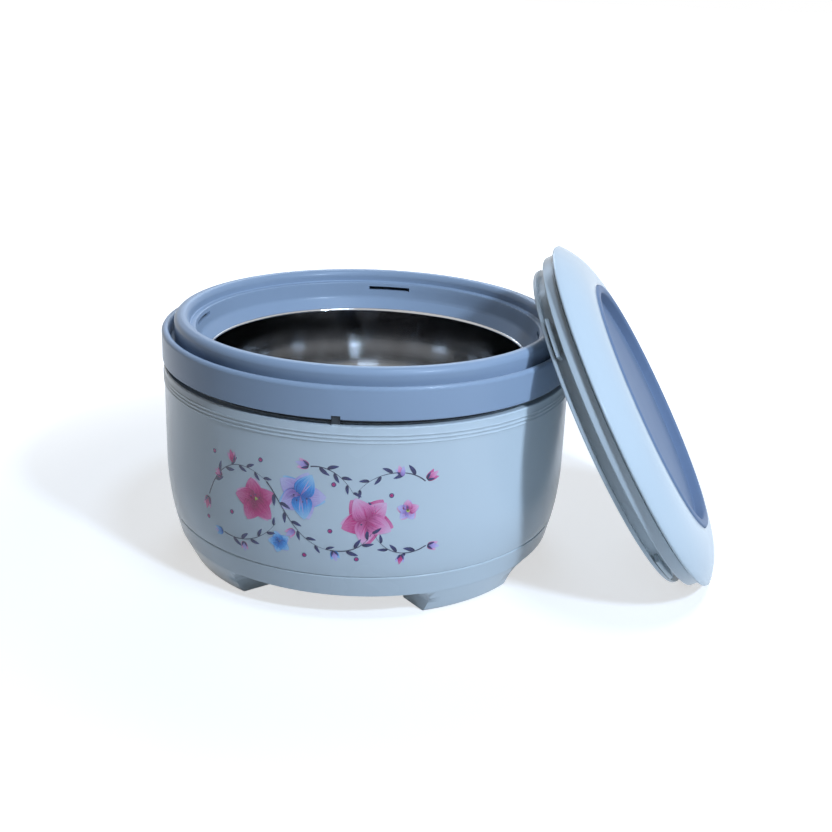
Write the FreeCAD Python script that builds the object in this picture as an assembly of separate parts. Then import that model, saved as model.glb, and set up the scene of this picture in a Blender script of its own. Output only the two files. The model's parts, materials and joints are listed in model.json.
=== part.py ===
import FreeCAD, Part
import math
import os

from FreeCAD import Placement, Rotation, Vector

# Round insulated chapati casserole with its lid taken off and leaning on it, in millimetres.
# The origin is on the body's axis in the plane of the feet, +Z is up, -Y is the front.
# The lid leans on the +X side and stands on the lower edge of its plug ring.

# Shared walls and clearances
WALL = 2.2
STEEL = 0.8
FOAM_GAP = 0.3
SEAT_GAP = 0.3
EDGE_ROUND = 0.8

# Base shell with its skirt and bracket feet
FOOT_COUNT = 4
FOOT_FIRST_ANGLE = 45.0
FOOT_HEIGHT = 16.0
FOOT_WIDTH = 60.0
FOOT_DEPTH = 19.0
FOOT_INSET = 8.0
FOOT_FLARE = 8.0
FOOT_TOE_ROUND = 2.5
SKIRT_HEIGHT = 13.5
SKIRT_INSET = 3.3
PLATE_RECESS = 2.0
PLATE_RIB_RADIUS = 62.0
TONGUE_HEIGHT = 5.0
TONGUE_WALL = 1.6
TONGUE_GAP = 0.15
FILL_HOLE_RADIUS = 6.0
PLUG_HEAD_RADIUS = 9.0
PLUG_HEAD_HEIGHT = 1.4
PLUG_FIT = 0.05

# Outer casing
CASING_RADIUS = 124.2
CASING_HEIGHT = 90.0
CASING_TAPER = 3.2
CASING_TAPER_HEIGHT = 32.5
RIDGE_COUNT = 3
RIDGE_FIRST_DROP = 4.6
RIDGE_PITCH = 2.2
RIDGE_WIDTH = 1.3
RIDGE_HEIGHT = 0.45
NECK_INSET = 4.7
NECK_HEIGHT = 11.5
TAB_WIDTH = 4.5
TAB_HEIGHT = 5.5
TAB_DEPTH = 4.2
TAB_CLEARANCE = 0.3

# Collar ring
COLLAR_RADIUS = 125.0
COLLAR_GAP = 3.5
COLLAR_TURN = 3.0
OUTER_RIM_HEIGHT = 18.5
OUTER_RIM_WIDTH = 4.7
OUTER_RIM_ROUND = 2.2
MOAT_WIDTH = 2.8
CREST_HEIGHT = 26.3
CREST_WIDTH = 9.0
CREST_ROUND = 4.0
STEP_HEIGHT = 19.0
STEP_WIDTH = 3.7
THROAT_DEPTH = 10.0
THROAT_TAPER = 1.2
THROAT_ROUND = 6.0
SNAP_HEIGHT = 4.0
SNAP_WALL = 1.5
SNAP_GAP = 0.1
SLOT_COUNT = 4
SLOT_LENGTH = 28.0
SLOT_HEIGHT = 2.4
SLOT_DROP = 2.6

# Steel bowl
BOWL_MOUTH_RADIUS = 97.4
BOWL_LIP_REVEAL = 1.2
BOWL_FLOOR_RADIUS = 93.2
BOWL_CORNER_ROUND = 18.0
BOWL_LIP_ROUND = 1.5
BOWL_FLANGE_WIDTH = 6.6
BOWL_FOAM_UNDER = 13.0

# Lid: heights are measured from the lower edge of the dome, along the lid's own axis
DOME_RADIUS = 111.5
DOME_EDGE = 1.8
DOME_RISE = 13.6
DOME_BULGE = 3.0
DOME_LIP_WIDTH = 6.5
PANEL_RADIUS = 80.0
PANEL_BEAD_WIDTH = 5.4
PANEL_BEAD_HEIGHT = 2.6
PANEL_BEAD_ROUND = 1.8
PANEL_LEDGE_DROP = 1.6
PANEL_RECESS = 6.2
PANEL_GAP = 0.3
LID_LINE_HEIGHT = 1.0
LID_LINE_DEPTH = 1.7
PLUG_RING_GAP = 0.5
PLUG_RING_HEIGHT = 7.0
GROOVE_RADIUS = 99.5
GROOVE_HEIGHT = 6.3
FLANGE_HEIGHT = 2.2
FLANGE_GAP = 0.6
LINER_RECESS = 4.0
LUG_COUNT = 4
LUG_FIRST_ANGLE = 40.0
LUG_LENGTH = 27.0
LUG_HEIGHT = 2.2
LUG_DROP = 3.0
LUG_CATCH = 0.7

# Lean of the lid against the collar
LID_TILT = 30.0
LEAN_GAP = 0.3

# Heights of the body that several pieces share
SEAM_Z = FOOT_HEIGHT + SKIRT_HEIGHT
CASING_TOP_Z = SEAM_Z + CASING_HEIGHT
COLLAR_Z = CASING_TOP_Z + COLLAR_GAP
NECK_TOP_Z = CASING_TOP_Z + NECK_HEIGHT
STEP_Z = COLLAR_Z + STEP_HEIGHT
CREST_Z = COLLAR_Z + CREST_HEIGHT
RIM_Z = COLLAR_Z + OUTER_RIM_HEIGHT
TAPER_TOP_Z = SEAM_Z + CASING_TAPER_HEIGHT
PLATE_UNDER_Z = FOOT_HEIGHT + PLATE_RECESS
PLATE_TOP_Z = PLATE_UNDER_Z + WALL
BOWL_UNDER_Z = PLATE_TOP_Z + BOWL_FOAM_UNDER

# Radii of the body that several pieces share
SEAM_RADIUS = CASING_RADIUS - CASING_TAPER
SKIRT_RADIUS = SEAM_RADIUS - SKIRT_INSET
FOOT_RADIUS = SKIRT_RADIUS - FOOT_INSET
FOOT_INNER_RADIUS = FOOT_RADIUS - FOOT_DEPTH
NECK_RADIUS = CASING_RADIUS - NECK_INSET
MOAT_OUTER_RADIUS = COLLAR_RADIUS - OUTER_RIM_WIDTH
CREST_OUTER_RADIUS = MOAT_OUTER_RADIUS - MOAT_WIDTH
CREST_INNER_RADIUS = CREST_OUTER_RADIUS - CREST_WIDTH
STEP_RADIUS = CREST_INNER_RADIUS - STEP_WIDTH
THROAT_RADIUS = STEP_RADIUS - THROAT_TAPER
THROAT_Z = STEP_Z - THROAT_DEPTH
COLLAR_MOUTH_RADIUS = BOWL_MOUTH_RADIUS + BOWL_LIP_REVEAL
BOWL_RIM_Z = COLLAR_Z + WALL
TAPER_ARC_RADIUS = (CASING_TAPER_HEIGHT ** 2 + CASING_TAPER ** 2) / (2 * CASING_TAPER)

# Heights and radii of the lid that several pieces share
RING_RADIUS = CREST_INNER_RADIUS - PLUG_RING_GAP
LINE_RADIUS = RING_RADIUS - LID_LINE_DEPTH
RING_BOTTOM = -LID_LINE_HEIGHT - PLUG_RING_HEIGHT
GROOVE_BOTTOM = RING_BOTTOM - GROOVE_HEIGHT
PLUG_BOTTOM = GROOVE_BOTTOM - FLANGE_HEIGHT
FLANGE_RADIUS = THROAT_RADIUS - FLANGE_GAP
LINER_UNDER = PLUG_BOTTOM + LINER_RECESS
LINER_TOP = LINER_UNDER + WALL
HUB_RADIUS = GROOVE_RADIUS - WALL
DOME_INNER_RADIUS = DOME_RADIUS - WALL
PANEL_SEAT_RADIUS = PANEL_RADIUS + PANEL_GAP
PANEL_SEAT = DOME_RISE - PANEL_LEDGE_DROP
PANEL_TOP = PANEL_SEAT + PANEL_BEAD_HEIGHT
PANEL_FACE = PANEL_TOP - PANEL_RECESS
PANEL_CUP_RADIUS = PANEL_RADIUS - PANEL_BEAD_WIDTH + WALL


def unit(vector):
    return Vector(vector).normalize()


def corner_points(before, corner, after, rounding):
    """Start, middle and end of the arc that rounds one corner of a section."""
    to_before = unit(before - corner)
    to_after = unit(after - corner)
    half_angle = to_before.getAngle(to_after) / 2
    reach = rounding / math.tan(half_angle)
    middle = corner + unit(to_before + to_after) * (rounding / math.sin(half_angle) - rounding)
    return corner + to_before * reach, middle, corner + to_after * reach


def section(corners):
    """Closed face in the XZ plane from corners given as (radius, height, rounding, via point).

    Rounding and via point may be left out. A via point makes the run to the next corner an arc.
    """
    places = [Vector(corner[0], 0, corner[1]) for corner in corners]
    count = len(corners)
    starts, ends, arcs = [], [], []
    for index, corner in enumerate(corners):
        rounding = corner[2] if len(corner) > 2 else 0
        place = places[index]
        if rounding:
            before = places[index - 1]
            after = places[(index + 1) % count]
            start, middle, end = corner_points(before, place, after, rounding)
            arcs.append(Part.Arc(start, middle, end).toShape())
        else:
            start, end = place, place
            arcs.append(None)
        starts.append(start)
        ends.append(end)
    edges = []
    for index, corner in enumerate(corners):
        if arcs[index]:
            edges.append(arcs[index])
        start, end = ends[index], starts[(index + 1) % count]
        if len(corner) > 3:
            via = Vector(corner[3][0], 0, corner[3][1])
            edges.append(Part.Arc(start, via, end).toShape())
        elif start.distanceToPoint(end) > 1e-6:
            edges.append(Part.makeLine(start, end))
    return Part.Face(Part.Wire(edges))


def turned(corners, angle=360.0):
    """Solid of revolution about the Z axis."""
    solid = section(corners).revolve(Vector(0, 0, 0), Vector(0, 0, 1), angle)
    return solid


def block(low, high):
    size = high - low
    return Part.makeBox(size.x, size.y, size.z, low)


def spun(shape, angle):
    """Copy of a shape turned about the Z axis."""
    copy = shape.copy()
    copy.rotate(Vector(0, 0, 0), Vector(0, 0, 1), angle)
    return copy


def ring_of(shape, count, first_angle):
    return [spun(shape, first_angle + index * 360.0 / count) for index in range(count)]


def barrel_point(depth, height):
    """Point of the casing's wall at a height, at a depth inside its outer face."""
    drop = max(TAPER_TOP_Z - height, 0)
    centre = CASING_RADIUS - TAPER_ARC_RADIUS
    radius = centre + math.sqrt((TAPER_ARC_RADIUS - depth) ** 2 - drop ** 2)
    return radius, height


def ridge_corners():
    """Fine ridges that run round the casing just under its shoulder, from the top one down."""
    corners = []
    for index in range(RIDGE_COUNT):
        middle = CASING_TOP_Z - RIDGE_FIRST_DROP - index * RIDGE_PITCH
        crown = CASING_RADIUS + RIDGE_HEIGHT
        corners.append((CASING_RADIUS, middle + RIDGE_WIDTH / 2))
        corners.append((crown, middle + RIDGE_WIDTH / 4))
        corners.append((crown, middle - RIDGE_WIDTH / 4))
        corners.append((CASING_RADIUS, middle - RIDGE_WIDTH / 2))
    return corners


def make_outer_casing():
    """Ivory outer wall with its shoulder, neck, ridges and the tab that sets the collar's turn."""
    inner_radius = CASING_RADIUS - WALL
    taper_middle = (TAPER_TOP_Z + SEAM_Z) / 2
    corners = [(CASING_RADIUS, CASING_TOP_Z, EDGE_ROUND)]
    corners += ridge_corners()
    corners += [
        (CASING_RADIUS, TAPER_TOP_Z, 0, barrel_point(0, taper_middle)),
        (*barrel_point(0, SEAM_Z + EDGE_ROUND),),
        (SEAM_RADIUS - EDGE_ROUND, SEAM_Z),
        (*barrel_point(WALL, SEAM_Z), 0, barrel_point(WALL, taper_middle)),
        (inner_radius, TAPER_TOP_Z),
        (inner_radius, CASING_TOP_Z - WALL),
        (NECK_RADIUS - WALL, CASING_TOP_Z - WALL),
        (NECK_RADIUS - WALL, NECK_TOP_Z),
        (NECK_RADIUS, NECK_TOP_Z),
        (NECK_RADIUS, CASING_TOP_Z),
    ]
    tab = block(
        Vector(-TAB_WIDTH / 2, -NECK_RADIUS - TAB_DEPTH, CASING_TOP_Z - WALL / 2),
        Vector(TAB_WIDTH / 2, -NECK_RADIUS + WALL / 2, CASING_TOP_Z + TAB_HEIGHT),
    )
    return turned(corners).fuse(spun(tab, COLLAR_TURN)).removeSplitter()


def foot_prism(half_width, low, high, flare):
    """Bar along +X with a foot's front outline, flared at the top where it meets the skirt."""
    curve = flare * (1 - math.sqrt(0.5))
    neck_z = FOOT_HEIGHT - flare
    reach = COLLAR_RADIUS - PLATE_RIB_RADIUS
    start = PLATE_RIB_RADIUS

    def place(across, height):
        return Vector(start, across, height)

    edges = []
    if flare:
        flank = half_width + flare
        right_arc = Part.Arc(
            place(half_width, neck_z),
            place(half_width + curve, FOOT_HEIGHT - curve),
            place(flank, FOOT_HEIGHT),
        )
        left_arc = Part.Arc(
            place(-flank, FOOT_HEIGHT),
            place(-half_width - curve, FOOT_HEIGHT - curve),
            place(-half_width, neck_z),
        )
        edges = [
            Part.makeLine(place(-half_width, low), place(half_width, low)),
            Part.makeLine(place(half_width, low), place(half_width, neck_z)),
            right_arc.toShape(),
            Part.makeLine(place(flank, FOOT_HEIGHT), place(flank, high)),
            Part.makeLine(place(flank, high), place(-flank, high)),
            Part.makeLine(place(-flank, high), place(-flank, FOOT_HEIGHT)),
            left_arc.toShape(),
            Part.makeLine(place(-half_width, neck_z), place(-half_width, low)),
        ]
        return Part.Face(Part.Wire(edges)).extrude(Vector(reach, 0, 0))
    return block(place(-half_width, low), Vector(start + reach, half_width, high))


def make_foot():
    """One hollow bracket foot on the +X side, and the pocket that cores it from above."""
    joint_z = PLATE_UNDER_Z + WALL / 4
    body = turned([
        (FOOT_RADIUS, 0, FOOT_TOE_ROUND),
        (SKIRT_RADIUS, FOOT_HEIGHT),
        (SKIRT_RADIUS - WALL / 2, joint_z),
        (FOOT_INNER_RADIUS, joint_z),
        (FOOT_INNER_RADIUS, 0, EDGE_ROUND),
    ])
    foot = body.common(foot_prism(FOOT_WIDTH / 2, 0, joint_z, FOOT_FLARE))
    pocket_body = turned([
        (FOOT_RADIUS - WALL, WALL),
        (SKIRT_RADIUS - 1.3 * WALL, FOOT_HEIGHT),
        (SKIRT_RADIUS - 1.3 * WALL, PLATE_TOP_Z + WALL),
        (FOOT_INNER_RADIUS + WALL, PLATE_TOP_Z + WALL),
        (FOOT_INNER_RADIUS + WALL, WALL),
    ])
    pocket = pocket_body.common(foot_prism(FOOT_WIDTH / 2 - WALL, WALL, PLATE_TOP_Z + WALL, 0))
    return foot, pocket


def make_base_shell():
    """Base pan with its skirt, the tongue inside the casing and four hollow bracket feet."""
    seam_inner = barrel_point(WALL, SEAM_Z)[0] - TONGUE_GAP
    tongue_inner = seam_inner - TONGUE_WALL
    pan = turned([
        (SEAM_RADIUS, SEAM_Z, EDGE_ROUND),
        (SKIRT_RADIUS, FOOT_HEIGHT, EDGE_ROUND),
        (SKIRT_RADIUS - WALL, FOOT_HEIGHT, EDGE_ROUND),
        (SKIRT_RADIUS - WALL, PLATE_UNDER_Z),
        (PLATE_RIB_RADIUS + WALL / 2, PLATE_UNDER_Z),
        (PLATE_RIB_RADIUS + WALL / 2, FOOT_HEIGHT),
        (PLATE_RIB_RADIUS - WALL / 2, FOOT_HEIGHT),
        (PLATE_RIB_RADIUS - WALL / 2, PLATE_UNDER_Z),
        (FILL_HOLE_RADIUS, PLATE_UNDER_Z),
        (FILL_HOLE_RADIUS, PLATE_TOP_Z),
        (SKIRT_RADIUS - 2 * WALL, PLATE_TOP_Z, EDGE_ROUND),
        (tongue_inner, SEAM_Z),
        (tongue_inner, SEAM_Z + TONGUE_HEIGHT),
        (seam_inner, SEAM_Z + TONGUE_HEIGHT),
        (seam_inner, SEAM_Z),
    ])
    foot, pocket = make_foot()
    shell = pan.multiFuse(ring_of(foot, FOOT_COUNT, FOOT_FIRST_ANGLE))
    for one_pocket in ring_of(pocket, FOOT_COUNT, FOOT_FIRST_ANGLE):
        shell = shell.cut(one_pocket)
    return shell.removeSplitter()


def make_base_fill_plug():
    """Plug that closes the hole in the base through which the foam was poured."""
    stem_radius = FILL_HOLE_RADIUS - PLUG_FIT
    return turned([
        (0, PLATE_UNDER_Z - PLUG_HEAD_HEIGHT),
        (PLUG_HEAD_RADIUS, PLATE_UNDER_Z - PLUG_HEAD_HEIGHT, PLUG_HEAD_HEIGHT / 2),
        (PLUG_HEAD_RADIUS, PLATE_UNDER_Z),
        (stem_radius, PLATE_UNDER_Z),
        (stem_radius, PLATE_TOP_Z),
        (0, PLATE_TOP_Z),
    ])


def make_collar_ring():
    """Lavender collar: outer rim, moat, rounded crest, step, throat, snap skirt and lid slots."""
    snap_inner = NECK_RADIUS + SNAP_GAP
    snap_bottom = NECK_TOP_Z - SNAP_HEIGHT
    moat_floor = NECK_TOP_Z + WALL
    hidden_step = STEP_RADIUS + WALL
    corners = [
        (COLLAR_RADIUS, COLLAR_Z, EDGE_ROUND),
        (COLLAR_RADIUS, RIM_Z, OUTER_RIM_ROUND),
        (MOAT_OUTER_RADIUS, RIM_Z, OUTER_RIM_ROUND),
        (MOAT_OUTER_RADIUS, moat_floor),
        (CREST_OUTER_RADIUS, moat_floor),
        (CREST_OUTER_RADIUS, CREST_Z, CREST_ROUND),
        (CREST_INNER_RADIUS, CREST_Z, CREST_ROUND),
        (CREST_INNER_RADIUS, STEP_Z, EDGE_ROUND),
        (STEP_RADIUS, STEP_Z, EDGE_ROUND),
        (THROAT_RADIUS, THROAT_Z, THROAT_ROUND),
        (COLLAR_MOUTH_RADIUS, BOWL_RIM_Z),
        (COLLAR_MOUTH_RADIUS + WALL, BOWL_RIM_Z),
        (THROAT_RADIUS + WALL, THROAT_Z - WALL / 2),
        (hidden_step, STEP_Z - WALL),
        (CREST_INNER_RADIUS + WALL, STEP_Z - WALL),
        (CREST_INNER_RADIUS + WALL, CREST_Z - WALL, CREST_ROUND / 2),
        (CREST_OUTER_RADIUS - WALL, CREST_Z - WALL, CREST_ROUND / 2),
        (CREST_OUTER_RADIUS - WALL, NECK_TOP_Z),
        (snap_inner, NECK_TOP_Z),
        (snap_inner, snap_bottom),
        (snap_inner + SNAP_WALL, snap_bottom),
        (snap_inner + SNAP_WALL, NECK_TOP_Z),
        (COLLAR_RADIUS - WALL, NECK_TOP_Z),
        (COLLAR_RADIUS - WALL, COLLAR_Z),
    ]
    ring = turned(corners)
    slot_top = STEP_Z - SLOT_DROP
    slot = block(
        Vector(THROAT_RADIUS - WALL, -SLOT_LENGTH / 2, slot_top - SLOT_HEIGHT),
        Vector(hidden_step + WALL, SLOT_LENGTH / 2, slot_top),
    )
    for cutter in ring_of(slot, SLOT_COUNT, COLLAR_TURN):
        ring = ring.cut(cutter)
    half_notch = TAB_WIDTH / 2 + TAB_CLEARANCE
    notch = block(
        Vector(-half_notch, -COLLAR_RADIUS - WALL, COLLAR_Z - WALL),
        Vector(half_notch, -COLLAR_RADIUS + 1.5 * WALL, CASING_TOP_Z + TAB_HEIGHT + TAB_CLEARANCE),
    )
    return ring.cut(spun(notch, COLLAR_TURN)).removeSplitter()


def make_inner_bowl():
    """Pressed steel bowl whose flange is held under the collar's throat."""
    flange_radius = BOWL_MOUTH_RADIUS + BOWL_FLANGE_WIDTH
    return turned([
        (flange_radius, BOWL_RIM_Z - STEEL),
        (BOWL_MOUTH_RADIUS + STEEL, BOWL_RIM_Z - STEEL, BOWL_LIP_ROUND - STEEL),
        (BOWL_FLOOR_RADIUS + STEEL, BOWL_UNDER_Z, BOWL_CORNER_ROUND + STEEL),
        (0, BOWL_UNDER_Z),
        (0, BOWL_UNDER_Z + STEEL),
        (BOWL_FLOOR_RADIUS, BOWL_UNDER_Z + STEEL, BOWL_CORNER_ROUND),
        (BOWL_MOUTH_RADIUS, BOWL_RIM_Z, BOWL_LIP_ROUND),
        (flange_radius, BOWL_RIM_Z),
    ])


def make_body_foam():
    """Insulating foam between the steel bowl and the outer casing."""
    tongue_inner = barrel_point(WALL, SEAM_Z)[0] - TONGUE_GAP - TONGUE_WALL
    above_tongue = SEAM_Z + TONGUE_HEIGHT + FOAM_GAP
    outer_depth = WALL + FOAM_GAP
    taper_middle = (TAPER_TOP_Z + above_tongue) / 2
    outer_radius = CASING_RADIUS - outer_depth
    shoulder_z = CASING_TOP_Z - WALL - FOAM_GAP
    foam_top = BOWL_RIM_Z - STEEL - FOAM_GAP
    bowl_gap = STEEL + FOAM_GAP
    return turned([
        (0, PLATE_TOP_Z),
        (SKIRT_RADIUS - 2 * WALL - 2 * EDGE_ROUND, PLATE_TOP_Z),
        (tongue_inner - 2 * FOAM_GAP, SEAM_Z),
        (tongue_inner - 2 * FOAM_GAP, above_tongue),
        (*barrel_point(outer_depth, above_tongue), 0, barrel_point(outer_depth, taper_middle)),
        (outer_radius, TAPER_TOP_Z),
        (outer_radius, shoulder_z),
        (NECK_RADIUS - outer_depth, shoulder_z),
        (NECK_RADIUS - outer_depth, foam_top),
        (BOWL_MOUTH_RADIUS + bowl_gap + BOWL_LIP_ROUND, foam_top),
        (BOWL_MOUTH_RADIUS + bowl_gap, foam_top - BOWL_LIP_ROUND),
        (BOWL_FLOOR_RADIUS + bowl_gap, BOWL_UNDER_Z, BOWL_CORNER_ROUND + STEEL),
        (0, BOWL_UNDER_Z),
    ])


def bulged_middle(start, end, bulge):
    """Middle of an arc between two section points, raised square to their chord."""
    run = Vector(end[0] - start[0], 0, end[1] - start[1])
    square = unit(Vector(-run.z, 0, run.x))
    if square.z < 0:
        square = -square
    return (start[0] + end[0]) / 2 + square.x * bulge, (start[1] + end[1]) / 2 + square.z * bulge


def make_lid_shell():
    """Ivory dome of the lid, with an inward lip below and a ledge for the top panel."""
    dome_start = (DOME_RADIUS, DOME_EDGE)
    dome_end = (PANEL_SEAT_RADIUS, DOME_RISE)
    inner_start = (PANEL_SEAT_RADIUS, PANEL_SEAT - WALL)
    inner_end = (DOME_INNER_RADIUS, WALL)
    ledge_inner = PANEL_CUP_RADIUS + PANEL_GAP
    return turned([
        (DOME_RADIUS - DOME_LIP_WIDTH, 0),
        (DOME_RADIUS, 0, EDGE_ROUND),
        (*dome_start, 0, bulged_middle(dome_start, dome_end, DOME_BULGE)),
        dome_end,
        (PANEL_SEAT_RADIUS, PANEL_SEAT),
        (ledge_inner, PANEL_SEAT),
        (ledge_inner, PANEL_SEAT - WALL),
        (*inner_start, 0, bulged_middle(inner_start, inner_end, DOME_BULGE)),
        inner_end,
        (DOME_RADIUS - DOME_LIP_WIDTH, WALL),
    ])


def make_lid_top_panel():
    """Lavender panel sunk into the top of the lid, with a rounded bead round its edge."""
    bead_inner = PANEL_RADIUS - PANEL_BEAD_WIDTH
    return turned([
        (0, PANEL_FACE - WALL),
        (PANEL_CUP_RADIUS, PANEL_FACE - WALL, EDGE_ROUND),
        (PANEL_CUP_RADIUS, PANEL_SEAT),
        (PANEL_RADIUS, PANEL_SEAT),
        (PANEL_RADIUS, PANEL_TOP, PANEL_BEAD_ROUND),
        (bead_inner, PANEL_TOP, PANEL_BEAD_ROUND),
        (bead_inner - EDGE_ROUND, PANEL_FACE, EDGE_ROUND),
        (0, PANEL_FACE),
    ])


def make_lid_liner():
    """Ivory underside of the lid: ring, groove, flange, sunken plate and the four catch lugs."""
    hidden_ring = LINE_RADIUS - WALL
    liner = turned([
        (LINE_RADIUS, 0),
        (LINE_RADIUS, -LID_LINE_HEIGHT),
        (RING_RADIUS, -LID_LINE_HEIGHT, EDGE_ROUND / 2),
        (RING_RADIUS, RING_BOTTOM, EDGE_ROUND),
        (GROOVE_RADIUS, RING_BOTTOM),
        (GROOVE_RADIUS, GROOVE_BOTTOM),
        (FLANGE_RADIUS, GROOVE_BOTTOM),
        (FLANGE_RADIUS, PLUG_BOTTOM, EDGE_ROUND),
        (HUB_RADIUS, PLUG_BOTTOM, EDGE_ROUND),
        (HUB_RADIUS, LINER_UNDER, EDGE_ROUND),
        (0, LINER_UNDER),
        (0, LINER_TOP),
        (HUB_RADIUS, LINER_TOP),
        (HUB_RADIUS, RING_BOTTOM + WALL),
        (hidden_ring, RING_BOTTOM + WALL),
        (hidden_ring, 0),
    ])
    lug_top = RING_BOTTOM - LUG_DROP
    lug_radius = STEP_RADIUS - THROAT_TAPER / 2 + LUG_CATCH
    lug_angle = math.degrees(LUG_LENGTH / lug_radius)
    lug = turned([
        (GROOVE_RADIUS - WALL / 2, lug_top - LUG_HEIGHT),
        (lug_radius, lug_top - LUG_HEIGHT, EDGE_ROUND / 2),
        (lug_radius, lug_top, EDGE_ROUND),
        (GROOVE_RADIUS - WALL / 2, lug_top),
    ], lug_angle)
    lugs = ring_of(lug, LUG_COUNT, LUG_FIRST_ANGLE - lug_angle / 2)
    return liner.multiFuse(lugs).removeSplitter()


def make_lid_foam():
    """Insulating foam inside the lid."""
    ledge_under = PANEL_SEAT - WALL - FOAM_GAP
    return turned([
        (0, LINER_TOP),
        (HUB_RADIUS - FOAM_GAP, LINER_TOP),
        (HUB_RADIUS - FOAM_GAP, RING_BOTTOM + WALL + FOAM_GAP),
        (LINE_RADIUS - WALL - FOAM_GAP, RING_BOTTOM + WALL + FOAM_GAP),
        (LINE_RADIUS - WALL - FOAM_GAP, WALL + FOAM_GAP),
        (PANEL_SEAT_RADIUS, ledge_under),
        (PANEL_CUP_RADIUS + FOAM_GAP, ledge_under),
        (PANEL_CUP_RADIUS + FOAM_GAP, PANEL_FACE - WALL - FOAM_GAP),
        (0, PANEL_FACE - WALL - FOAM_GAP),
    ])


def lid_placement():
    """Place of the leaning lid: lowest edge on the floor, sunken plate against the outer rim."""
    lean = math.radians(LID_TILT)
    edges = [
        (RING_RADIUS, RING_BOTTOM),
        (FLANGE_RADIUS, PLUG_BOTTOM),
        (DOME_RADIUS, 0),
    ]
    drops = []
    for radius, height in edges:
        drops.append(
            (radius - EDGE_ROUND) * math.cos(lean)
            - (height + EDGE_ROUND) * math.sin(lean)
            + EDGE_ROUND
        )
    centre_z = max(drops)
    rim_reach = (
        (COLLAR_RADIUS - OUTER_RIM_ROUND) * math.cos(lean)
        + (RIM_Z - OUTER_RIM_ROUND) * math.sin(lean)
        + OUTER_RIM_ROUND
    )
    plane = rim_reach + LEAN_GAP - LINER_UNDER
    centre_x = (plane - centre_z * math.sin(lean)) / math.cos(lean)
    return Placement(Vector(centre_x, 0, centre_z), Rotation(Vector(0, 1, 0), 90 - LID_TILT))


def leaned(shape):
    placed = shape.copy()
    placed.Placement = lid_placement().multiply(placed.Placement)
    return placed


NODES = {
    "outer_casing": make_outer_casing,
    "base_shell": make_base_shell,
    "base_fill_plug": make_base_fill_plug,
    "collar_ring": make_collar_ring,
    "inner_bowl": make_inner_bowl,
    "body_foam": make_body_foam,
    "lid_shell": lambda: leaned(make_lid_shell()),
    "lid_top_panel": lambda: leaned(make_lid_top_panel()),
    "lid_liner": lambda: leaned(make_lid_liner()),
    "lid_foam": lambda: leaned(make_lid_foam()),
}


def main():
    os.makedirs("parts", exist_ok=True)
    place = lid_placement().Base
    print("lid centre %.2f %.2f %.2f" % (place.x, place.y, place.z))
    for node, make in NODES.items():
        shape = make()
        shape.exportStep("parts/%s.step" % node)
        box = shape.BoundBox
        print(
            "%-16s solids %d valid %s volume %.0f box x %.1f %.1f y %.1f %.1f z %.1f %.1f"
            % (node, len(shape.Solids), shape.isValid(), shape.Volume,
               box.XMin, box.XMax, box.YMin, box.YMax, box.ZMin, box.ZMax)
        )


main()
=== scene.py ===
import json
import math
import random

import bpy
from mathutils import Matrix, Vector
from mathutils.bvhtree import BVHTree


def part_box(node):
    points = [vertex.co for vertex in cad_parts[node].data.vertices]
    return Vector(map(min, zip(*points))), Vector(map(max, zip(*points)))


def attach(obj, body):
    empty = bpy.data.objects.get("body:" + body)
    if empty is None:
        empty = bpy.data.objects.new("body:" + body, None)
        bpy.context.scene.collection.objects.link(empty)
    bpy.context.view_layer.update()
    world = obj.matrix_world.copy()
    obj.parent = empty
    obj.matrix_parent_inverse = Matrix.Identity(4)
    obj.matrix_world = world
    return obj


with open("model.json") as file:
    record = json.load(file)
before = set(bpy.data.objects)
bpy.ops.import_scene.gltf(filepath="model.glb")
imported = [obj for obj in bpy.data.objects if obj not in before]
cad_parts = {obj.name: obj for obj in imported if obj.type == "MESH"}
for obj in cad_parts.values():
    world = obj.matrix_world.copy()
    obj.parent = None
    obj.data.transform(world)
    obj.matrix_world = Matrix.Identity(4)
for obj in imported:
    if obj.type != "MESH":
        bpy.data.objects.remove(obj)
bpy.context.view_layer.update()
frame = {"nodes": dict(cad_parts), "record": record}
scene = bpy.context.scene

# Camera at the photograph's viewing angle, placed from a point on the body's axis
IMAGE_SIZE = 832
FOCAL_PIXELS = 1200
SENSOR_WIDTH = 36.0
CLIP_START = 0.01
CAMERA_AZIMUTH = math.radians(10.5)
CAMERA_ELEVATION = math.radians(16.76)
CAMERA_DISTANCE = 0.7458
CAMERA_YAW = math.radians(2.353)
CAMERA_PITCH = math.radians(-3.100)
CAMERA_ROLL = math.radians(2.185)
AIM_HEIGHT = 0.1245

# Colours of the object's materials, as linear values
IVORY = (0.67, 0.73, 0.76)
LAVENDER = (0.34, 0.42, 0.54)
PANEL_LAVENDER = (0.20, 0.26, 0.38)
PLUG = (0.62, 0.62, 0.60)
FOAM = (0.78, 0.66, 0.40)
STEEL = 0.52

# Moulded plastics: colour, roughness, weight of the clear coat and specular level
PLASTICS = {
    "ivory_plastic": (IVORY, 0.26, 0.06, 0.18),
    "casing_plastic": (IVORY, 0.26, 0.06, 0.18),
    "lavender_plastic": (LAVENDER, 0.34, 0.03, 0.18),
    "panel_plastic": (PANEL_LAVENDER, 0.45, 0.0, 0.05),
    "plug_plastic": (PLUG, 0.45, 0.0, 0.3),
}

# Nodes that look different from the rest of their material slot
OWN_MATERIALS = {
    "outer_casing": "casing_plastic",
    "lid_top_panel": "panel_plastic",
}

# Shade on the casing's neck, from just above its shoulder
NECK_SHADE = (0.05, 0.06, 0.07)
NECK_SHADE_HEIGHT = 0.1199
NECK_SHADE_BLEND = 0.0004

# Smoothing of the curved walls
WELD_DISTANCE = 0.000005
NORMALS_WEIGHT = 50

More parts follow.
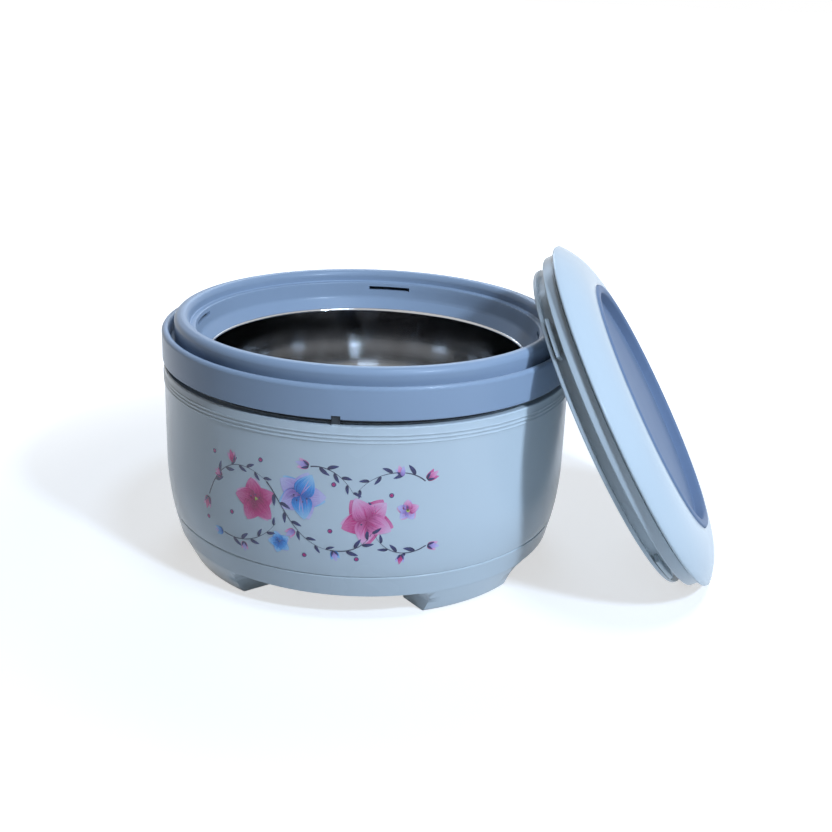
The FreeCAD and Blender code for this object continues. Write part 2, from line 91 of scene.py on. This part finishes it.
# Floor and surroundings, with distances from the origin in metres
FLOOR_RADIUS = 30.0
FLOOR_SIDES = 64
FLOOR_COLOUR = (0.60, 0.60, 0.60)
FLOOR_ROUGHNESS = 0.8
FLOOR_GLOW_NEAR = 0.62
FLOOR_GLOW_FAR = 1.0
FLOOR_GLOW_START = 0.20
FLOOR_GLOW_END = 0.48
AMBIENT = 0.03
AMBIENT_COLOUR = (1.0, 0.96, 0.90)
WHITE = (1, 1, 1, 1)

# Lamps: azimuth and elevation in degrees, distance and diameter in metres, watts and colour
LAMP_AIM_HEIGHT = 0.1
COOL_COLOUR = (0.68, 0.87, 1.12)
WARM_COLOUR = (1.0, 0.84, 0.58)
LAMPS = {
    "key": (49, 38, 1.5, 0.15, 14.0, COOL_COLOUR),
    "fill": (-85, 15, 1.6, 0.8, 0.30, WARM_COLOUR),
    "top": (50, 68, 1.5, 0.3, 6.5, COOL_COLOUR),
    "back": (190, 35, 1.7, 0.9, 7.0, COOL_COLOUR),
}

# Place of the floral print on the casing's front, in metres and radians. The patches lie a hair
# above the casing and above each other.
PRINT_AZIMUTH = math.radians(-4.0)
PRINT_HEIGHT = 0.0695
PRINT_SCALE = 0.92
PRINT_LIFT = 0.00005
LAYER_LIFT = 0.000012
LAYER_COUNT = 12
PRINT_SEED = 4
STREAK_SEEDS = 50
RAY_START = 0.3

# Grids of the print's patches
PETAL_ROWS = 12
PETAL_COLUMNS = 6
PETAL_EDGE_POWER = 0.75
STEM_ROWS = 28
STEM_TAPER = 0.8
DISC_SIDES = 20

# Parts of the motifs
BLOSSOM_PETALS = 5
BLOSSOM_ANTHERS = 7
VEIN_SPREAD = 0.22
STEM_WIDTH = 0.0007
FIRST_LEAF = 0.18
LAST_LEAF = 0.96
LEAF_TURN = 0.85
LEAF_LENGTH = 7.4
DOT_RADIUS = 1.5
DOT_HOLE = 0.62

# Layout of the print, in millimetres about its middle and in radians.
# Vines: number of leaves, then the four points of the stem's cubic curve.
VINES = [
    (8, (-72, -6), (-62, 20), (-44, 27), (-26, 14)),
    (8, (-26, 14), (-16, 4), (-8, -22), (14, -25)),
    (8, (14, -25), (34, -27), (44, -12), (40, 6)),
    (6, (70, 20), (60, 30), (40, 28), (30, 14)),
    (6, (72, -22), (60, -30), (46, -26), (40, -12)),
    (6, (-60, -28), (-46, -32), (-30, -26), (-20, -12)),
    (6, (2, 28), (12, 30), (22, 24), (28, 12)),
]
# Buds: x, y, angle, size, colour and accent.
BUDS = [
    (-73, -8, -1.8, 8.5, "magenta", "pink"),
    (71, 21, 0.6, 8.0, "pink", "magenta"),
    (73, -22, -0.2, 7.5, "lilac", "pink"),
    (-61, -28, 3.3, 7.5, "lilac", "blue"),
    (1, 28, 2.9, 8.0, "lilac", "pink"),
    (-50, 21, 1.9, 7.5, "magenta", "pink"),
    (-60, 9, 2.6, 6.5, "pink", "magenta"),
    (16, -25, -1.3, 7.0, "lilac", "blue"),
    (56, 24, 1.9, 6.8, "pink", "lilac"),
    (57, -27, -1.7, 6.5, "magenta", "lilac"),
    (-8, -14, -2.4, 7.0, "lilac", "pink"),
    (-44, -30, -1.5, 6.5, "lilac", "pink"),
]
# Blossoms: x, y, radius, turn, colour and accent.
BLOSSOMS = [
    (-34, 0, 14.5, 0.35, "pink", "magenta"),
    (-4, 9, 15.5, 1.1, "blue", "lilac"),
    (36, -4, 16.0, 0.8, "pink", "magenta"),
    (60, 2, 7.0, 0.2, "lilac", "pink"),
    (-18, -24, 7.5, 0.5, "lilac", "blue"),
]
# Dots: x and y.
DOTS = [
    (-66, 24),
    (-30, 27),
    (-52, -12),
    (16, 18),
    (14, -12),
    (-74, -22),
    (50, 12),
    (30, -30),
    (-2, -30),
]

# Petal colours from the base of a petal to its tip, as linear values
PETAL_COLOURS = {
    "pink": ((0.42, 0.02, 0.16), (0.80, 0.20, 0.45), (0.86, 0.52, 0.72)),
    "magenta": ((0.28, 0.00, 0.08), (0.62, 0.02, 0.20), (0.78, 0.20, 0.42)),
    "blue": ((0.01, 0.10, 0.42), (0.05, 0.32, 0.78), (0.42, 0.68, 0.90)),
    "lilac": ((0.24, 0.12, 0.42), (0.48, 0.36, 0.72), (0.66, 0.62, 0.88)),
    "navy": ((0.006, 0.008, 0.05), (0.014, 0.018, 0.10), (0.03, 0.04, 0.17)),
    "stem": ((0.03, 0.03, 0.07), (0.04, 0.05, 0.10), (0.07, 0.09, 0.15)),
    "green": ((0.20, 0.34, 0.03), (0.42, 0.52, 0.08), (0.62, 0.66, 0.22)),
}


def towards(azimuth, elevation):
    """Direction from the object, with azimuth 0 at its front and turning to its right."""
    return Vector((
        math.sin(azimuth) * math.cos(elevation),
        -math.cos(azimuth) * math.cos(elevation),
        math.sin(elevation),
    ))


def camera_axes(back):
    """Right, up and backward axes of the camera, turned from its line to the aim point."""
    right = Vector((math.cos(CAMERA_AZIMUTH), math.sin(CAMERA_AZIMUTH), 0))
    up = right.cross(-back)
    forward = (-back + right * math.tan(CAMERA_YAW) + up * math.tan(CAMERA_PITCH)).normalized()
    level_right = forward.cross(Vector((0, 0, 1))).normalized()
    level_up = level_right.cross(forward)
    cos_roll, sin_roll = math.cos(CAMERA_ROLL), math.sin(CAMERA_ROLL)
    rolled_right = level_right * cos_roll + level_up * sin_roll
    rolled_up = level_up * cos_roll - level_right * sin_roll
    return rolled_right, rolled_up, -forward


def add_camera():
    data = bpy.data.cameras.new("camera")
    data.sensor_width = SENSOR_WIDTH
    data.lens = FOCAL_PIXELS / IMAGE_SIZE * SENSOR_WIDTH
    data.clip_start = CLIP_START
    camera = bpy.data.objects.new("camera", data)
    scene.collection.objects.link(camera)
    back = towards(CAMERA_AZIMUTH, CAMERA_ELEVATION)
    place = Vector((0, 0, AIM_HEIGHT)) + back * CAMERA_DISTANCE
    turn = Matrix(camera_axes(back)).transposed().to_4x4()
    camera.matrix_world = Matrix.Translation(place) @ turn
    scene.camera = camera


def new_material(name):
    """Empty material with one principled shader, given back with that shader."""
    material = bpy.data.materials.new(name)
    material.use_nodes = True
    nodes = material.node_tree.nodes
    nodes.clear()
    output = nodes.new("ShaderNodeOutputMaterial")
    shader = nodes.new("ShaderNodeBsdfPrincipled")
    material.node_tree.links.new(shader.outputs[0], output.inputs[0])
    return material, shader


def noise(material, scale, detail, roughness=0.5, stretch=(1, 1, 1), coordinates=None):
    """Socket with noise over the object's own coordinates, or over the given ones."""
    nodes, links = material.node_tree.nodes, material.node_tree.links
    mapping = nodes.new("ShaderNodeMapping")
    mapping.inputs["Scale"].default_value = stretch
    if coordinates is None:
        coordinates = nodes.new("ShaderNodeTexCoord").outputs["Object"]
    links.new(coordinates, mapping.inputs["Vector"])
    texture = nodes.new("ShaderNodeTexNoise")
    texture.inputs["Scale"].default_value = scale
    texture.inputs["Detail"].default_value = detail
    texture.inputs["Roughness"].default_value = roughness
    links.new(mapping.outputs[0], texture.inputs["Vector"])
    return texture.outputs[0]


def ramp(material, factor, stops):
    """Socket with the colours of the stops, each a position and a colour, along a factor."""
    node = material.node_tree.nodes.new("ShaderNodeValToRGB")
    elements = node.color_ramp.elements
    while len(elements) < len(stops):
        elements.new(0.5)
    for element, (position, colour) in zip(elements, stops):
        element.position = position
        element.color = (*colour, 1)
    material.node_tree.links.new(factor, node.inputs[0])
    return node.outputs[0]


def bump(material, height, strength, distance, before=None):
    """Socket with a normal that a height disturbs, on top of an earlier normal if given."""
    node = material.node_tree.nodes.new("ShaderNodeBump")
    node.inputs["Strength"].default_value = strength
    node.inputs["Distance"].default_value = distance
    material.node_tree.links.new(height, node.inputs["Height"])
    if before is not None:
        material.node_tree.links.new(before, node.inputs["Normal"])
    return node.outputs[0]


def math_node(material, operation, *values):
    """Socket with the result of a sum on sockets and plain numbers."""
    node = material.node_tree.nodes.new("ShaderNodeMath")
    node.operation = operation
    for value, socket in zip(values, node.inputs):
        if isinstance(value, (int, float)):
            socket.default_value = value
        else:
            material.node_tree.links.new(value, socket)
    return node.outputs[0]


def map_range(material, value, from_range, to_range=(0, 1), smooth=False):
    """Socket with a value carried from one range to another and held at its ends."""
    node = material.node_tree.nodes.new("ShaderNodeMapRange")
    if smooth:
        node.interpolation_type = "SMOOTHSTEP"
    material.node_tree.links.new(value, node.inputs["Value"])
    node.inputs["From Min"].default_value, node.inputs["From Max"].default_value = from_range
    node.inputs["To Min"].default_value, node.inputs["To Max"].default_value = to_range
    return node.outputs[0]


def grey(value):
    return (value, value, value)


def tinted(colour, factor):
    return tuple(channel * factor for channel in colour)


def plastic(name, colour, roughness, coat, specular):
    """Glossy moulded plastic: faint cloudiness, uneven gloss, moulding ripple and fine grain."""
    material, shader = new_material(name)
    links = material.node_tree.links
    clouds = noise(material, scale=9, detail=2)
    tint = ramp(material, clouds, [(0.0, tinted(colour, 0.97)), (1.0, tinted(colour, 1.02))])
    links.new(tint, shader.inputs["Base Color"])
    patches = noise(material, scale=25, detail=2)
    gloss = ramp(material, patches, [(0.0, grey(roughness * 0.85)), (1.0, grey(roughness * 1.15))])
    links.new(gloss, shader.inputs["Roughness"])
    ripple = bump(material, noise(material, scale=18, detail=1), strength=0.03, distance=0.0003)
    grain = noise(material, scale=1500, detail=2)
    surface = bump(material, grain, strength=0.02, distance=0.00002, before=ripple)
    links.new(surface, shader.inputs["Normal"])
    shader.inputs["Coat Weight"].default_value = coat
    shader.inputs["Coat Roughness"].default_value = 0.10
    shader.inputs["Specular IOR Level"].default_value = specular
    return material


def shade_neck(material):
    """Shadow in the narrow gap between the casing's shoulder and the collar, set by height."""
    nodes, links = material.node_tree.nodes, material.node_tree.links
    shader = next(node for node in nodes if node.type == "BSDF_PRINCIPLED")
    tint = shader.inputs["Base Color"].links[0].from_socket
    place = nodes.new("ShaderNodeSeparateXYZ")
    links.new(nodes.new("ShaderNodeTexCoord").outputs["Object"], place.inputs[0])
    blend = (NECK_SHADE_HEIGHT, NECK_SHADE_HEIGHT + NECK_SHADE_BLEND)
    mix = nodes.new("ShaderNodeMix")
    mix.data_type = "RGBA"
    links.new(map_range(material, place.outputs["Z"], blend), mix.inputs["Factor"])
    links.new(tint, mix.inputs["A"])
    mix.inputs["B"].default_value = (*NECK_SHADE, 1)
    links.new(mix.outputs["Result"], shader.inputs["Base Color"])


def polished_steel():
    """Polished stainless steel with faint turned rings and small cloudy smudges."""
    material, shader = new_material("bowl_steel")
    links = material.node_tree.links
    shader.inputs["Metallic"].default_value = 1.0
    clouds = noise(material, scale=22, detail=4)
    bright = (STEEL * 1.05, STEEL * 1.08, STEEL * 1.12)
    tint = ramp(material, clouds, [(0.3, grey(STEEL * 0.85)), (0.7, bright)])
    links.new(tint, shader.inputs["Base Color"])
    smudges = noise(material, scale=35, detail=6, roughness=0.6)
    gloss = ramp(material, smudges, [(0.35, grey(0.05)), (0.75, grey(0.11))])
    links.new(gloss, shader.inputs["Roughness"])
    rings = noise(material, scale=500, detail=2, stretch=(0.02, 0.02, 1))
    links.new(bump(material, rings, strength=0.08, distance=0.00006), shader.inputs["Normal"])
    return material


def foam():
    """Rigid insulating foam with open cells on its skin."""
    material, shader = new_material("foam")
    links = material.node_tree.links
    cells = noise(material, scale=420, detail=5, roughness=0.7)
    tint = ramp(material, cells, [(0.3, tinted(FOAM, 0.8)), (0.7, FOAM)])
    links.new(tint, shader.inputs["Base Color"])
    shader.inputs["Roughness"].default_value = 0.9
    links.new(bump(material, cells, strength=0.6, distance=0.0006), shader.inputs["Normal"])
    return material


def dress_cad_nodes():
    """Each node gets the material of its slot, or its own where it looks different."""
    materials = {name: plastic(name, *finish) for name, finish in PLASTICS.items()}
    materials["bowl_steel"] = polished_steel()
    materials["foam"] = foam()
    shade_neck(materials["casing_plastic"])
    for subpart in frame["record"]["subparts"]:
        name = OWN_MATERIALS.get(subpart["node"], subpart["material_slot"])
        node = frame["nodes"][subpart["node"]]
        node.data.materials.clear()
        node.data.materials.append(materials[name])


def smooth_cad_nodes():
    """Even shading over the curved walls: the faces join up and the large ones set the normals."""
    for node in frame["nodes"].values():
        weld = node.modifiers.new("weld", "WELD")
        weld.merge_threshold = WELD_DISTANCE
        normals = node.modifiers.new("normals", "WEIGHTED_NORMAL")
        normals.weight = NORMALS_WEIGHT
        normals.keep_sharp = True


# Patches of the print. A patch is a grid of (x, y, along, across). On a petal or stem, along runs
# from 0 at its base to 1 at its tip and across from -1 to 1 over its width. On a disc, along is
# the share of its radius and across runs once round it.

def petal(base, angle, length, width, fullness, bend=0.0):
    """Petal or leaf: a grid between two curved edges that meet at the base and at the tip."""
    grid = []
    for row in range(PETAL_ROWS + 1):
        along = row / PETAL_ROWS
        half = 0
        if 0 < row < PETAL_ROWS:
            half = width / 2 * math.sin(math.pi * along ** (1 / (2 * fullness))) ** PETAL_EDGE_POWER
        sway = bend * length * along * along
        line = []
        for column in range(PETAL_COLUMNS + 1):
            across = 2 * column / PETAL_COLUMNS - 1
            x = along * length
            y = across * half + sway
            line.append((
                base[0] + x * math.cos(angle) - y * math.sin(angle),
                base[1] + x * math.sin(angle) + y * math.cos(angle),
                along,
                across,
            ))
        grid.append(line)
    return grid


def curve_point(curve, along):
    """Point and heading on a cubic curve given by four points."""
    rest = 1 - along
    weights = (rest ** 3, 3 * rest * rest * along, 3 * rest * along * along, along ** 3)
    slopes = (
        -3 * rest * rest,
        3 * rest * rest - 6 * rest * along,
        6 * rest * along - 3 * along * along,
        3 * along * along,
    )
    x, y = (sum(w * p[axis] for w, p in zip(weights, curve)) for axis in (0, 1))
    dx, dy = (sum(w * p[axis] for w, p in zip(slopes, curve)) for axis in (0, 1))
    return (x, y), math.atan2(dy, dx)


def stem(curve):
    """Thin line along a curve that narrows towards its far end."""
    grid = []
    for row in range(STEM_ROWS + 1):
        along = row / STEM_ROWS
        (x, y), heading = curve_point(curve, along)
        half = STEM_WIDTH / 2 * (1 - STEM_TAPER * along)
        line = []
        for across in (-1, 0, 1):
            line.append((
                x - across * half * math.sin(heading),
                y + across * half * math.cos(heading),
                along,
                across,
            ))
        grid.append(line)
    return grid


def disc(centre, radius, hole=0.0):
    """Round dot, or a small ring if it has a hole, given as a share of its radius."""
    grid = []
    for ring in (hole, 0.5 + hole / 2, 1):
        line = []
        for step in range(DISC_SIDES + 1):
            angle = 2 * math.pi * step / DISC_SIDES
            line.append((
                centre[0] + radius * ring * math.cos(angle),
                centre[1] + radius * ring * math.sin(angle),
                ring,
                2 * step / DISC_SIDES - 1,
            ))
        grid.append(line)
    return grid


# Motifs of the print. A motif is a list of patches from back to front, each with its colour.

def veins(centre, angle, radius, colour):
    """Three fine lines from the heart of a blossom along one of its petals."""
    patches = []
    for spread, reach in ((-VEIN_SPREAD, 0.66), (0.0, 0.78), (VEIN_SPREAD, 0.66)):
        line = petal(centre, angle + spread, length=radius * reach, width=radius * 0.045, fullness=0.5)
        patches.append((colour, line))
    return patches


def anthers(centre, radius, turn):
    """Ring of small dots round the heart of a blossom."""
    patches = []
    for index in range(BLOSSOM_ANTHERS):
        angle = turn + 0.3 + index * 2 * math.pi / BLOSSOM_ANTHERS
        x = centre[0] + radius * 0.27 * math.cos(angle)
        y = centre[1] + radius * 0.27 * math.sin(angle)
        patches.append(("navy", disc((x, y), radius * 0.035)))
    return patches


def blossom(centre, radius, turn, colour, accent):
    """Open flower with two layers of broad petals, veins, a green heart and a ring of anthers."""
    angles = [turn + index * 2 * math.pi / BLOSSOM_PETALS for index in range(BLOSSOM_PETALS)]
    patches = []
    for angle in angles:
        behind = petal(centre, angle + 0.18, length=radius * 1.02, width=radius * 0.92, fullness=0.85)
        patches.append((accent, behind))
    for angle in angles:
        patches.append((colour, petal(centre, angle, radius, width=radius * 0.84, fullness=0.85)))
        patches += veins(centre, angle, radius, accent)
    patches.append(("green", disc(centre, radius * 0.17)))
    return patches + anthers(centre, radius, turn)


def bud(base, angle, size, colour, accent):
    """Closed bud: three overlapping petals held by two small sepals."""
    patches = []
    for spread in (-0.42, 0.42):
        side = petal(base, angle + spread, length=size * 0.95, width=size * 0.42, fullness=0.8)
        patches.append((accent, side))
    patches.append((colour, petal(base, angle, length=size * 1.08, width=size * 0.50, fullness=0.8)))
    for spread in (-0.75, 0.75):
        bend = -0.3 * spread
        sepal = petal(base, angle + spread, length=size * 0.62, width=size * 0.20, fullness=0.6, bend=bend)
        patches.append(("navy", sepal))
    return patches


def vine(curve, leaf_count, leaf_length):
    """Arching stem with small leaves set in turn on its two sides, shorter towards its tip."""
    patches = [("stem", stem(curve))]
    for index in range(leaf_count):
        along = FIRST_LEAF + (LAST_LEAF - FIRST_LEAF) * index / (leaf_count - 1)
        point, heading = curve_point(curve, along)
        side = 1 if index % 2 else -1
        length = leaf_length * (1.1 - 0.35 * along)
        turned = heading + side * LEAF_TURN
        leaf = petal(point, turned, length, width=length * 0.34, fullness=0.62, bend=-0.25 * side)
        patches.append(("navy", leaf))
    return patches


def print_motifs():
    """All patches of the print from back to front, in metres about its middle."""
    mm = 0.001 * PRINT_SCALE

    def at(x, y):
        return (x * mm, y * mm)

    patches = []
    for leaf_count, *points in VINES:
        patches += vine([at(*point) for point in points], leaf_count, LEAF_LENGTH * mm)
    for x, y, angle, size, colour, accent in BUDS:
        patches += bud(at(x, y), angle, size * mm, colour, accent)
    for x, y, radius, turn, colour, accent in BLOSSOMS:
        patches += blossom(at(x, y), radius * mm, turn, colour, accent)
    for x, y in DOTS:
        patches.append(("magenta", disc(at(x, y), DOT_RADIUS * mm)))
        patches.append(("navy", disc(at(x, y), DOT_RADIUS * mm, DOT_HOLE)))
    return patches


def casing_surface():
    """Function that gives the casing's outer surface at an angle round the axis and a height."""
    node = frame["nodes"]["outer_casing"]
    tree = BVHTree.FromObject(node, bpy.context.evaluated_depsgraph_get())

    def surface(angle, height):
        outward = Vector((math.sin(angle), -math.cos(angle), 0))
        return tree.ray_cast(outward * RAY_START + Vector((0, 0, height)), -outward)[0]

    return surface


def grid_faces(first, rows, columns):
    """Faces of a grid of points that starts at one index."""
    faces = []
    for row in range(rows - 1):
        for column in range(columns - 1):
            corner = first + row * columns + column
            faces.append((corner, corner + columns, corner + columns + 1, corner + 1))
    return faces


def lay_patches():
    """Points, faces, normals and tints of the patches on the casing, gathered by colour."""
    surface = casing_surface()
    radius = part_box("outer_casing")[1][0]
    chance = random.Random(PRINT_SEED)
    meshes = {colour: ([], [], [], []) for colour in PETAL_COLOURS}
    for layer, (colour, grid) in enumerate(print_motifs()):
        points, faces, normals, tints = meshes[colour]
        faces += grid_faces(len(points), len(grid), len(grid[0]))
        seed = chance.uniform(0, STREAK_SEEDS)
        lift = PRINT_LIFT + LAYER_LIFT * (layer % LAYER_COUNT)
        for line in grid:
            for x, y, along, across in line:
                spot = surface(PRINT_AZIMUTH + x / radius, PRINT_HEIGHT + y)
                outward = Vector((spot.x, spot.y, 0)).normalized()
                points.append(spot + outward * lift)
                normals.append(outward)
                tints.append((along, across, seed))
    return meshes


def print_material(name, stops):
    """Glossy ink whose tint runs along each petal, with fine brush streaks."""
    material, shader = new_material(name)
    nodes, links = material.node_tree.nodes, material.node_tree.links
    tints = nodes.new("ShaderNodeAttribute")
    tints.attribute_name = "petal"
    split = nodes.new("ShaderNodeSeparateXYZ")
    links.new(tints.outputs["Vector"], split.inputs[0])
    streaks = noise(
        material,
        scale=3.2,
        detail=3,
        roughness=0.6,
        stretch=(0.35, 3.0, 1.0),
        coordinates=tints.outputs["Vector"],
    )
    streaked = math_node(material, "MULTIPLY_ADD", streaks, 0.9, split.outputs["X"])
    centred = math_node(material, "SUBTRACT", streaked, 0.45)
    base, middle, tip = stops
    colour = ramp(material, centred, [(0.05, base), (0.45, middle), (0.95, tip)])
    links.new(colour, shader.inputs["Base Color"])
    gloss = noise(material, scale=300, detail=3, roughness=0.6)
    links.new(ramp(material, gloss, [(0.3, grey(0.22)), (0.7, grey(0.34))]), shader.inputs["Roughness"])
    shader.inputs["Coat Weight"].default_value = 0.3
    shader.inputs["Coat Roughness"].default_value = 0.1
    return material


def add_print():
    """The floral print as thin patches that lie on the casing, one piece for each colour."""
    for colour, (points, faces, normals, tints) in lay_patches().items():
        name = "print_" + colour
        mesh = bpy.data.meshes.new(name)
        mesh.from_pydata(points, [], faces)
        mesh.shade_smooth()
        mesh.normals_split_custom_set_from_vertices(normals)
        attribute = mesh.attributes.new("petal", "FLOAT_VECTOR", "POINT")
        for item, tint in zip(attribute.data, tints):
            item.vector = tint
        mesh.materials.append(print_material(name, PETAL_COLOURS[colour]))
        piece = bpy.data.objects.new(name, mesh)
        scene.collection.objects.link(piece)
        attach(piece, "casserole_body")


def seen_rays(tree):
    """Socket that is 1 for camera, glossy and transmission rays."""
    path = tree.nodes.new("ShaderNodeLightPath")
    total = path.outputs["Is Camera Ray"]
    for name in ("Is Glossy Ray", "Is Transmission Ray"):
        add = tree.nodes.new("ShaderNodeMath")
        add.operation = "ADD"
        add.use_clamp = True
        tree.links.new(total, add.inputs[0])
        tree.links.new(path.outputs[name], add.inputs[1])
        total = add.outputs[0]
    return total


def floor_material():
    """Pale matt floor that glows for the camera, more so away from the object."""
    material, shader = new_material("floor")
    nodes, links = material.node_tree.nodes, material.node_tree.links
    shader.inputs["Base Color"].default_value = (*FLOOR_COLOUR, 1)
    shader.inputs["Roughness"].default_value = FLOOR_ROUGHNESS
    shader.inputs["Emission Color"].default_value = WHITE
    distance = nodes.new("ShaderNodeVectorMath")
    distance.operation = "LENGTH"
    links.new(nodes.new("ShaderNodeTexCoord").outputs["Object"], distance.inputs[0])
    glow = map_range(
        material,
        distance.outputs["Value"],
        (FLOOR_GLOW_START, FLOOR_GLOW_END),
        (FLOOR_GLOW_NEAR, FLOOR_GLOW_FAR),
        smooth=True,
    )
    seen = math_node(material, "MULTIPLY", seen_rays(material.node_tree), glow)
    links.new(seen, shader.inputs["Emission Strength"])
    return material


def add_floor():
    """Round floor that shows as white away from the object and keeps the object's shadow."""
    points = [(0, 0, 0)]
    for step in range(FLOOR_SIDES):
        angle = 2 * math.pi * step / FLOOR_SIDES
        points.append((FLOOR_RADIUS * math.cos(angle), FLOOR_RADIUS * math.sin(angle), 0))
    faces = [(0, step + 1, (step + 1) % FLOOR_SIDES + 1) for step in range(FLOOR_SIDES)]
    mesh = bpy.data.meshes.new("floor")
    mesh.from_pydata(points, [], faces)
    mesh.materials.append(floor_material())
    floor = bpy.data.objects.new("floor", mesh)
    scene.collection.objects.link(floor)


def add_world():
    """Dim ambient light on the object, white where the camera or a reflection sees past it."""
    world = bpy.data.worlds.new("studio")
    world.use_nodes = True
    nodes, links = world.node_tree.nodes, world.node_tree.links
    ambient = nodes["Background"]
    ambient.inputs["Color"].default_value = (*AMBIENT_COLOUR, 1)
    ambient.inputs["Strength"].default_value = AMBIENT
    white = nodes.new("ShaderNodeBackground")
    white.inputs["Color"].default_value = WHITE
    white.inputs["Strength"].default_value = 1.0
    mix = nodes.new("ShaderNodeMixShader")
    links.new(seen_rays(world.node_tree), mix.inputs[0])
    links.new(ambient.outputs[0], mix.inputs[1])
    links.new(white.outputs[0], mix.inputs[2])
    links.new(mix.outputs[0], nodes["World Output"].inputs[0])
    scene.world = world


def add_lamp(name, azimuth, elevation, distance, diameter, watts, colour):
    """Round area lamp aimed at the object."""
    direction = towards(math.radians(azimuth), math.radians(elevation))
    data = bpy.data.lights.new(name, "AREA")
    data.shape = "DISK"
    data.size = diameter
    data.energy = watts
    data.color = colour
    lamp = bpy.data.objects.new(name, data)
    lamp.location = Vector((0, 0, LAMP_AIM_HEIGHT)) + direction * distance
    lamp.rotation_mode = "QUATERNION"
    lamp.rotation_quaternion = (-direction).to_track_quat("-Z", "Y")
    scene.collection.objects.link(lamp)


scene.view_settings.view_transform = "Standard"
add_camera()
dress_cad_nodes()
smooth_cad_nodes()
add_print()
add_floor()
add_world()
for lamp_name, lamp_values in LAMPS.items():
    add_lamp(lamp_name, *lamp_values)
